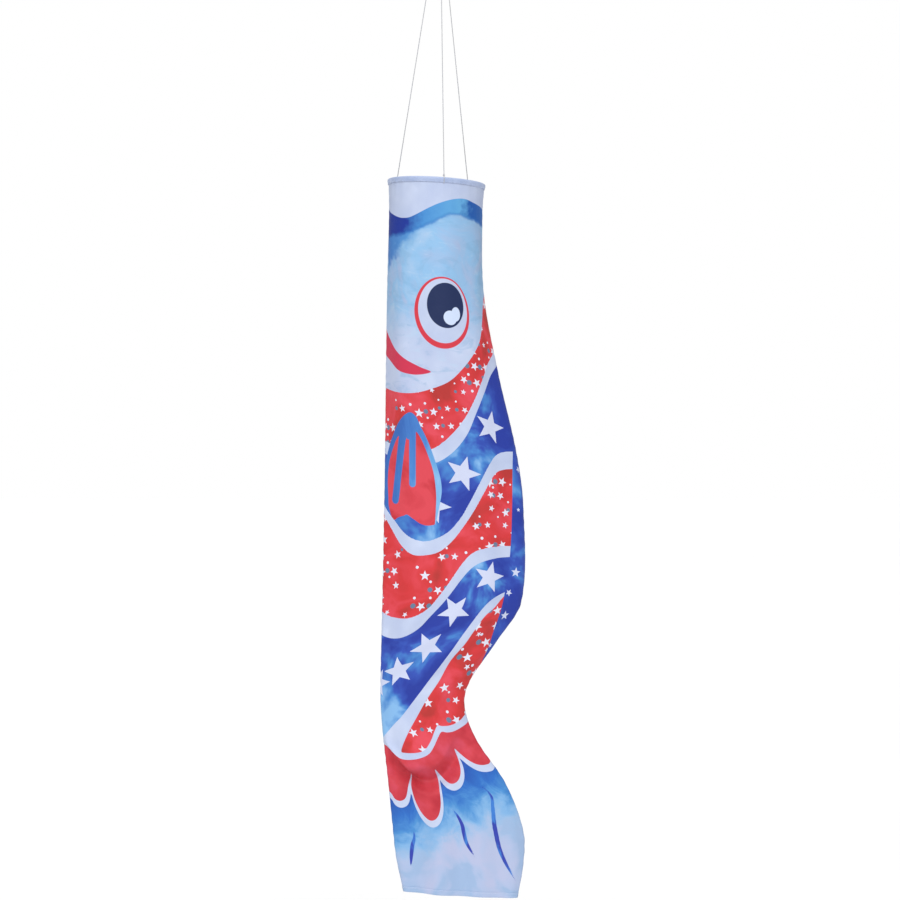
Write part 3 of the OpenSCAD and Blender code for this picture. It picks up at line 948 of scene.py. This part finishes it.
def add_tubes(name, parts, material, body):
    """Several tubes, each its points and faces, as one piece."""
    points, faces, start = [], [], 0
    for part_points, part_faces in parts:
        points.append(part_points)
        faces += [[i + start for i in face] for face in part_faces]
        start += len(part_points)
    return add_mesh(name, np.concatenate(points), faces, material, body)


STITCH, STITCH_SPACE, THREAD_RADIUS = 2.4 * MM, 0.7 * MM, 0.17 * MM


def stitches(line, outward):
    """Machine stitches round a closed line: short lengths of thread, sunk at both ends."""
    line = np.concatenate([line, line[:1]])
    outward = unit(np.concatenate([outward, outward[:1]]))
    run = run_along(line)
    parts = []
    t = np.linspace(0, 1, 6)
    for start in np.arange(STITCH_SPACE, run[-1] - STITCH, STITCH + STITCH_SPACE):
        at = start + STITCH * t
        rise = THREAD_RADIUS * (1.6 * np.sin(math.pi * t) ** 0.7 - 0.9)
        path = points_at(line, run, at) + points_at(outward, run, at) * rise[:, None]
        parts.append(tube(path, THREAD_RADIUS * (0.55 + 0.45 * np.sin(math.pi * t)), 6))
    return parts


# ---------------------------------------------------------------- printed cloth

THICKNESS = 0.3 * MM     # of the cloth


def border(rows, columns):
    """Point numbers round the border of a grid, in order."""
    size = rows * columns
    return np.concatenate([np.arange(columns), np.arange(2, rows + 1) * columns - 1,
                           np.arange(size - 2, size - columns - 1, -1),
                           np.arange(rows - 2, 0, -1) * columns])


def sharpen(piece, loops):
    """Hard shading along closed loops of point numbers."""
    hard = {frozenset(pair) for loop in loops
            for pair in zip(loop.tolist(), np.roll(loop, -1).tolist())}
    is_hard = [frozenset(edge.vertices) in hard for edge in piece.data.edges]
    piece.data.attributes.new("sharp_edge", "BOOLEAN", "EDGE").data.foreach_set("value", is_hard)


def slab(name, outer, inner, normal, fields):
    """A closed thin sheet between two grids, printed on both faces."""
    rows, columns = outer.shape[:2]
    size = rows * columns
    points = np.concatenate([outer.reshape(-1, 3), inner.reshape(-1, 3)])
    front = sheet_faces(rows, columns)
    loop = border(rows, columns)
    ahead = np.roll(loop, -1)
    rim = np.stack([loop, ahead, ahead + size, loop + size], 1)
    if looks_in(points, front, normal.reshape(-1, 3)):
        front = front[:, ::-1]
    else:
        rim = rim[:, ::-1]
    back = front[:, [0, 3, 2, 1]] + size   # the same diagonals, so the faces stay apart
    piece = add_mesh(name, points, np.concatenate([front, back, rim]), CLOTH)
    fields = {key: np.concatenate([values, values]) for key, values in fields.items()}
    fields["lining"] = np.repeat([0.0, 1.0], size)
    give_fields(piece, fields)
    sharpen(piece, [loop, loop + size])
    return piece


def square_on(place, normal, along):
    """Normals of the folded cloth, left as they are beside its sewn edges."""
    folded = unit(np.cross(np.gradient(place, axis=1), np.gradient(place, axis=0)))
    if (folded * normal).sum() < 0:
        folded = -folded
    edge = np.abs(along[:, -1:]) - np.abs(along)
    share = ease(edge / 0.010)[..., None]
    return unit(folded * share + normal * (1 - share))


# Part, bodies that it spans, the joint between them, half the length of cloth about that joint, CAD
# panels
CLOTH_PARTS = [
    ("upper", ("head", "middle"), "body_sway", 52 * MM, ("head", "upper_flex")),
    ("lower", ("middle", "tail"), "tail_wag", 44 * MM, ("middle", "lower_flex", "tail"))]


def declare_cloth(piece, word, part, drops):
    """Bakes a cloth piece's place into its points and hides the CAD panels that it replaces."""
    _, bodies, joint, reach, nodes = part
    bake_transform(piece)
    widths = np.array([2 * half_width(d) for d in drops])
    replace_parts(piece, *[f"{word}_panel_{node}" for node in nodes])


def make_cloth():
    """Two printed panels, each in an upper and a lower piece that meet in the rigid middle."""
    end = CLOTH_END - 2 * MM   # covered by the hem
    drops = np.linspace(CLOTH_TOP, end, round((end - CLOTH_TOP) / CELL) + 1)
    split = int(np.argmin(np.abs(drops - SPLIT)))
    grids = {"left": cloth_grid(-1, drops), "right": cloth_grid(1, drops)}
    fields = artwork(*[values.ravel() for values in grids["left"][2:]])   # mirrored on the right
    for word, (place, normal, along, _, _) in grids.items():
        inner = place - square_on(place, normal, along) * THICKNESS
        for part, start, stop in zip(CLOTH_PARTS, (0, split), (split + 1, len(drops))):
            rows = slice(start, stop)
            own = slice(start * (COLUMNS + 1), stop * (COLUMNS + 1))
            piece = slab(f"{word}_cloth_{part[0]}", place[rows], inner[rows], normal[rows],
                         {key: values[own] for key, values in fields.items()})
            declare_cloth(piece, word, part, drops[rows])


def ring_rows(drops):
    """The cloth's places, normals and printed fields all the way round, at a few drops."""
    grids = {side: cloth_grid(side, np.asarray(drops, float)) for side in (-1, 1)}
    left, right = grids[-1], grids[1]
    turned = slice(-2, 0, -1)
    place, normal = (np.concatenate([left[i], right[i][:, turned]], 1) for i in (0, 1))
    along, drop, across = (np.concatenate([left[i], left[i][:, turned]], 1) for i in (2, 3, 4))
    return place, normal, along, drop, across


HEM = 12 * MM
TAPE = 0.35 * MM         # thickness of the hem's and the casing's folded layers
HEM_OUT = 0.6 * MM       # where the hem's outer and inner faces lie, outwards from the cloth
HEM_IN = -0.9 * MM
HEM_MIDDLE = -0.15 * MM
HEM_SEAMS = (1.6 * MM, 3.4 * MM)   # how far the stitches lie below the hem's upper edge


def hem_profile():
    """The hem in section, as (drop, distance outwards): its outer line and back by its inner."""
    low, high = CLOTH_END, CLOTH_END - HEM
    outer = [(high, HEM_OUT), (high + 2 * MM, HEM_OUT + 0.1 * MM),
             (low - 4 * MM, HEM_OUT + 0.15 * MM), (low - 1.5 * MM, HEM_OUT),
             (low - 0.4 * MM, HEM_OUT - 0.4 * MM), (low, HEM_MIDDLE),
             (low - 0.4 * MM, HEM_IN + 0.4 * MM), (low - 1.5 * MM, HEM_IN),
             (low - 4 * MM, HEM_IN - 0.15 * MM), (high + 2 * MM, HEM_IN), (high, HEM_IN)]
    inner = [(drop, out - math.copysign(TAPE, out - HEM_MIDDLE)) if drop < low - 1 * MM
             else (drop - 0.8 * TAPE, HEM_MIDDLE) for drop, out in outer[::-1]]
    return outer + inner


def hem_seams():
    """Two rows of stitches on the outer face of the hem and two on its inner face."""
    parts = []
    for below in HEM_SEAMS:
        line, lift = (rows[0] for rows in ring_rows([CLOTH_END - HEM + below])[:2])
        parts += stitches(line + lift * (HEM_OUT + 0.1 * MM), lift)
        parts += stitches(line + lift * HEM_IN, -lift)
    return parts


def make_hem():
    """The turned hem at the tail: cloth folded up on both faces and sewn with two rows."""
    drops, offsets = zip(*hem_profile())
    place, normal, *on_print = ring_rows(drops)
    outward = np.zeros_like(normal)
    outward[1] = normal[1]   # the second row lies on the outer face
    piece = add_band("tail_hem_fold", place + normal * np.array(offsets)[:, None, None], outward,
                     CLOTH, "tail")
    fields = artwork(*[values.ravel() for values in on_print])
    give_fields(piece, {**fields, "lining": np.zeros(len(piece.data.vertices))})
    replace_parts(piece, "tail_hem")
    thread = add_tubes("tail_hem_stitches", hem_seams(), THREAD, "tail")


# ---------------------------------------------------------------- mouth casing

def in_hoop(x, y, z):
    """A place in the leaning frame of the hoop, given in the shared frame."""
    cos, sin = math.cos(LEAN_ANGLE), math.sin(LEAN_ANGLE)
    return np.stack(np.broadcast_arrays(
        HOOP.x + x * cos + z * sin, y, HOOP.z - x * sin + z * cos), -1)


CASING_CREST = 2.9 * MM  # radius of the fold over the wire
CREST_STEPS = 15
# One foot of the fold from its lower edge up, as (height, distance from the hoop's circle), and
# how much of the gathers reaches each place
FOOT = np.array([[-8.4, 0.95], [-7.6, 1.0], [-6.4, 1.2], [-5.0, 1.75], [-3.4, 2.4],
                 [-1.6, 2.85]]) * MM
FOOT_GATHERS = np.array([1, 1, 0.9, 0.7, 0.4, 0.15])[:, None]
CASING_SEAMS = (-6.4 * MM, -7.7 * MM)   # heights of the two rows of stitches
AROUND = 360             # points round the hoop


def casing_profile(angle):
    """Outer line of the casing's fold from its inner foot over the wire to its outer foot,
    as (radial, height) for each angle round the hoop."""
    along = HOOP_RADIUS * (math.pi / 2 - np.abs(np.arctan2(np.sin(angle), np.cos(angle))))
    edge = math.pi / 2 * HOOP_RADIUS - np.abs(along)
    pulled = gather(along) * ease(edge / 0.014)
    slack = 0.18 * MM * np.cos(TURN * along / 0.011 + np.sin(70 * along))
    turn = np.linspace(math.pi, 0, CREST_STEPS)[:, None]
    shift = FOOT_GATHERS * (0.5 * MM * pulled + 0.5 * MM)
    bulge = (1 - FOOT_GATHERS) * slack
    crest = np.repeat(CASING_CREST * np.cos(turn), len(angle), 1)
    radial = np.concatenate([-FOOT[:, 1:] + shift - bulge, crest,
                             (FOOT[:, 1:] + shift + bulge)[::-1]])
    height = np.concatenate([FOOT[:, :1], CASING_CREST * np.sin(turn), FOOT[::-1, :1]])
    return radial, np.repeat(height, len(angle), 1)


def casing_seams(angle, radial, height):
    """Two rows of stitches on the inner face of the casing and two on its outer face."""
    parts = []
    away = np.stack([np.cos(angle), np.sin(angle), 0 * angle], 1)
    inner_foot, outer_foot = slice(0, len(FOOT)), slice(-1, -len(FOOT) - 1, -1)
    for foot, sign in ((inner_foot, -1), (outer_foot, 1)):
        for level in CASING_SEAMS:
            r = HOOP_RADIUS + np.array([np.interp(level, height[foot, k], radial[foot, k])
                                        for k in range(AROUND)])
            parts += stitches(in_hoop(r * np.cos(angle), r * np.sin(angle), level), sign * away)
    return parts


def make_casing():
    """The casing: tape folded over the wire and sewn to the cloth."""
    angle = np.linspace(0, TURN, AROUND, endpoint=False)
    radial, height = casing_profile(angle)
    way = np.stack([np.gradient(radial, axis=0), np.gradient(height, axis=0)], 2)
    normal = unit(np.stack([-way[..., 1], way[..., 0]], 2))
    under = np.stack([radial, height], 2) - TAPE * normal
    r = HOOP_RADIUS + np.concatenate([radial, under[::-1, :, 0]])
    points = in_hoop(r * np.cos(angle), r * np.sin(angle),
                     np.concatenate([height, under[::-1, :, 1]]))
    outward = np.zeros_like(points)
    outward[len(FOOT) + CREST_STEPS // 2 - 1] = (0, 0, 1)   # the top of the fold looks up
    piece = add_band("mouth_casing_fold", points, outward, CASING, "head")
    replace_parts(piece, "mouth_casing")
    thread = add_tubes("casing_stitches", casing_seams(angle, radial, height), THREAD, "head")


# ---------------------------------------------------------------- bridle

CORD_RADIUS = 1.0 * MM
PLAIT = 3.4 * MM         # length over which the cord's braid repeats


def even(path, step):
    """The same path with points a step apart."""
    path = np.asarray(path, float)
    run = run_along(path)
    return points_at(path, run, np.linspace(0, run[-1], max(4, round(run[-1] / step))))


def box_middle(node):
    low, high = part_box(node)
    return (low + high) / 2


def rod_ends(node):
    """The two end centres of a straight round rod, its lower one first."""
    points = np.array([v.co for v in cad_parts[node].data.vertices])
    middle = points.mean(0)
    way = np.linalg.svd(points - middle)[2][0]
    way = way * np.sign(way[2])
    reach = (points - middle) @ way
    ends = [points[reach < reach.min() + 0.5 * MM], points[reach > reach.max() - 0.5 * MM]]
    return [e.mean(0) for e in ends]


def trefoil(centre, axis, size, cord, turns=200):
    """A tightened knot: a cord that passes three times over itself."""
    t = np.linspace(0, TURN, turns, endpoint=False)
    x = np.sin(t) + 2 * np.sin(2 * t)
    y = np.cos(t) - 2 * np.cos(2 * t)
    z = -1.6 * np.sin(3 * t)
    axis = unit(np.asarray(axis, float))
    side = unit(np.cross(axis, (0.3, 1, 0.1)))
    up = np.cross(axis, side)
    path = centre + size / 3 * (x[:, None] * side + y[:, None] * up + z[:, None] * axis)
    return tube(path, cord, 10, closed=True)


def add_cord(name, parts, node):
    """Cord on the head, shown in place of a CAD node."""
    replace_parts(add_tubes(name, parts, CORD, "head"), node)


HITCH_WRAP = 3.75 * MM   # radius of the hitch's turn over the casing
# The hitch's turn under the hoop, as (away from the hoop's circle, height) in millimetres
HITCH_UNDER = [(-3.3, -2.6), (-2.5, -6.0), (-1.9, -8.6), (-1.0, -10.0), (0.5, -10.4),
               (2.0, -9.8), (2.8, -8.4), (3.2, -6.0), (3.6, -2.6)]


def hitch_turn(angle):
    """The closed turn of cord over the casing and through the cloth, at an angle on the hoop."""
    crest = np.linspace(-0.05, math.pi + 0.05, 30)
    under_knot = np.where((crest > 1.2) & (crest < 1.94), 1.0 * MM, 0)
    over = np.column_stack([HITCH_WRAP * np.cos(crest), HITCH_WRAP * np.sin(crest) + under_knot])
    route = np.concatenate([over, np.array(HITCH_UNDER) * MM])
    route = np.concatenate([route[-2:], route, route[:2]])
    away, height = (np.convolve(line, np.ones(5) / 5, "valid") for line in route.T)
    r = HOOP_RADIUS + away
    turn = in_hoop(r * math.cos(angle), r * math.sin(angle), height)
    return even(np.concatenate([turn, turn[:1]]), 0.4 * MM)[:-1]


def make_bridle():
    """Three lines, each tied round the hoop with a turn of cord and two tight knots."""
    for word in ("front", "back", "belly"):
        low, high = rod_ends(f"bridle_line_{word}")
        way = unit(high - low)
        path = even([low - way * 1.6 * MM, high + way * 1.2 * MM], 0.45 * MM)
        add_cord(f"bridle_cord_{word}", [tube(path, CORD_RADIUS, 16, braid=PLAIT)],
                 f"bridle_line_{word}")
        spot = box_middle(f"hitch_{word}") - HOOP
        angle = math.atan2(spot.y, spot.x / math.cos(LEAN_ANGLE))
        knot, tail = low - way * 2.2 * MM, low - way * 3.1 * MM
        add_cord(f"hitch_cord_{word}", [
            tube(hitch_turn(angle), 0.8 * MM, 12, closed=True),
            trefoil(knot, way, 1.75 * MM, 0.78 * MM),
            trefoil(tail, way + (0.3, 0.2, 0), 1.35 * MM, 0.72 * MM)], f"hitch_{word}")


def make_crown_loop():
    low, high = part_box("crown_loop")
    bend = (high.x - low.x) / 2 - CORD_RADIUS
    top = high.z - CORD_RADIUS - bend
    arch = [(bend * math.cos(a), 0, top + bend * math.sin(a))
            for a in np.linspace(0, math.pi, 30)]
    foot = 1.3 * MM          # half the distance between the loop's feet, in the whipping
    path = [(foot, 0, low.z - 2 * MM), (foot, 0, low.z + 0.2 * MM), *arch,
            (-foot, 0, low.z + 0.2 * MM), (-foot, 0, low.z - 2 * MM)]
    add_cord("crown_loop_cord", [tube(even(path, 0.4 * MM), CORD_RADIUS, 16, braid=PLAIT)],
             "crown_loop")


def make_whipping():
    """Thread wound round the gathered cords, with its first and last turn tucked in."""
    low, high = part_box("crown_whipping")
    wound, thread, steps = 2.7 * MM, 0.42 * MM, 700
    length = high.z - low.z - 2 * thread
    t = np.linspace(0, TURN * length / (1.9 * thread), steps)
    count = np.arange(steps)
    radius = wound * (0.8 + 0.2 * np.clip(np.minimum(count, count[::-1]) / 25, 0, 1))
    coil = np.stack([radius * np.cos(t), radius * np.sin(t),
                     low.z + thread + length * t / t[-1]], 1)
    core = [(0, 0, z) for z in (low.z + 0.3 * MM, low.z + 0.5 * MM, high.z - 0.5 * MM,
                                high.z - 0.3 * MM)]
    core_radius = [2.1 * MM, 2.5 * MM, 2.5 * MM, 2.1 * MM]
    add_cord("whipping_thread", [tube(coil, thread, 8), tube(core, core_radius, 32)],
             "crown_whipping")


# ---------------------------------------------------------------- metal

def make_spring():
    """The torsion spring: a small coil on each side of the gate's knuckle."""
    low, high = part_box("gate_spring")
    wire, reach = 0.17 * MM, 1.28 * MM
    near, far = 1.15 * MM + wire, high.x - wire
    t = np.linspace(-0.3, 2.25 * TURN, 90)
    away = near + (far - near) * np.clip(t / t[-1], 0, 1)
    parts = []
    for sign in (-1, 1):
        coil = np.stack([sign * away, (low.y + high.y) / 2 + reach * np.sin(t),
                         (low.z + high.z) / 2 + reach * np.cos(t)], 1)
        parts.append(tube(coil, wire, 8))
    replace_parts(add_tubes("gate_spring_coil", parts, SPRING, "snap"),
                "gate_spring")


def finish_metal():
    """Materials of the CAD nodes that are shown as they are."""
    plated = ("hanging_eye", "swivel_barrel", "swivel_tail", "snap_body", "snap_gate",
              "hoop_ferrule")
    for material, nodes in ((NICKEL, plated), (SPRING, ("gate_pin", "hoop_ring"))):
        for node in nodes:
            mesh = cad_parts[node].data
            mesh.materials.clear()
            mesh.materials.append(material)


make_cloth()
make_hem()
make_casing()
make_bridle()
make_crown_loop()
make_whipping()
make_spring()
finish_metal()


# ---------------------------------------------------------------- stage and light

FLOOR_GAP = 0.42         # the streamer hangs this high above the floor
FLOOR_HALF = 60.0


def make_stage():
    low = cad_box[0].z - FLOOR_GAP
    corners = [(x * FLOOR_HALF, y * FLOOR_HALF, low)
               for x, y in ((-1, -1), (1, -1), (1, 1), (-1, 1))]
    p = Paint("pale_floor")
    tone = p.ramp(p.noise(p.own_place(), 0.6, 2.0), (0.3, "F8F8F8"), (0.7, "FDFDFD"))
    material = p.finish(Base_Color=tone, Roughness=0.9)
    add_mesh("floor", corners, [(0, 1, 2, 3)], material, smooth_faces=False)


# Strength of the world on the object, and name, strength, spread in degrees and direction of
# each sun
WORLD_LIGHT = 0.31
SUNS = [("key", 2.2, 50, (0.06, 0.78, -0.62)), ("top", 1.15, 30, (0.0, 0.05, -1.0))]


def make_world():
    """A white studio all round: seen at full white, but lighting the object less."""
    world = bpy.data.worlds.new("studio")
    world.use_nodes = True
    tree = world.node_tree
    seen = tree.nodes.new("ShaderNodeLightPath").outputs["Is Camera Ray"]
    level = tree.nodes.new("ShaderNodeMapRange")
    level.inputs["To Min"].default_value = WORLD_LIGHT
    level.inputs["To Max"].default_value = 1.0
    tree.links.new(seen, level.inputs["Value"])
    backdrop = tree.nodes["Background"]
    backdrop.inputs["Color"].default_value = (1, 1, 1, 1)
    tree.links.new(level.outputs[0], backdrop.inputs["Strength"])
    bpy.context.scene.world = world


def make_suns():
    """A large soft light at the front and a softer one from above."""
    for name, power, spread, way in SUNS:
        data = bpy.data.lights.new(name, "SUN")
        data.energy = power
        data.angle = math.radians(spread)
        sun = bpy.data.objects.new(name, data)
        bpy.context.scene.collection.objects.link(sun)
        sun.rotation_euler = Vector(way).to_track_quat("-Z", "Y").to_euler()


make_stage()
make_world()
make_suns()
bpy.context.scene.view_settings.view_transform = "Standard"
